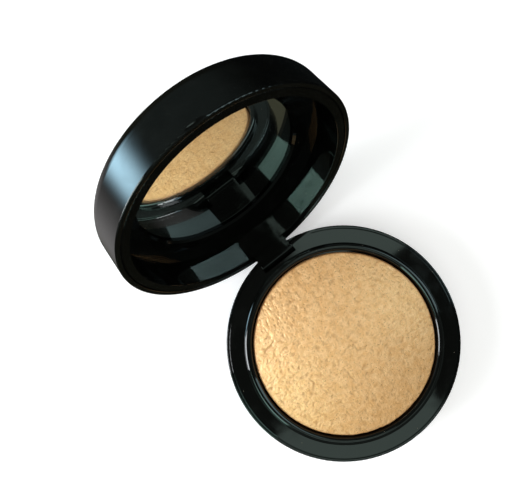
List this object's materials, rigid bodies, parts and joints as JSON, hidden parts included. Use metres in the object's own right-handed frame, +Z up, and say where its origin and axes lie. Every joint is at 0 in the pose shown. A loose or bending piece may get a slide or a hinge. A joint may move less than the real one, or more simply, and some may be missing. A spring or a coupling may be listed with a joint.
{
  "type": "powder compact",
  "caption": "Round black powder compact with a domed baked powder, and a hinged lid with a deep rim and a mirror inside.",
  "frame": {"origin": "middle of the underside, on the table", "axes": "+Z up, +Y towards the hinge and the open lid, +X along the hinge pin; rest pose is the lid open against its stop"},
  "size_m": [0.076, 0.1207, 0.0739],
  "materials": {
    "case_black": "polished moulded, high gloss",
    "tray_black": "polished moulded, high gloss",
    "fired_clay": "unglazed, matt",
    "glue": "set hot-melt, satin",
    "baked_powder": "baked powder skin, satin shimmer, pitted and wrinkled",
    "pin_steel": "drawn wire",
    "label_paper": "coated paper, blank",
    "mirror": "silvered glass",
    "tape_foam": "foam tape, matt"
  },
  "bodies": {
    "base": {"base_shell": "case_black", "base_tray": "tray_black", "powder_tile": "fired_clay", "tile_glue": "glue", "powder_cake": "baked_powder", "hinge_pin": "pin_steel", "bottom_label": "label_paper"},
    "lid": {"lid_shell": "case_black", "lid_liner": "tray_black", "mirror_glass": "mirror", "mirror_tape": "tape_foam"}
  },
  "joints": [
    {"name": "lid_hinge", "type": "hinge", "parent": "base", "child": "lid", "pos_m": [0, 0.0352, 0.00979], "axis": [1, 0, 0], "range_deg": [0, 115.5]}
  ]
}
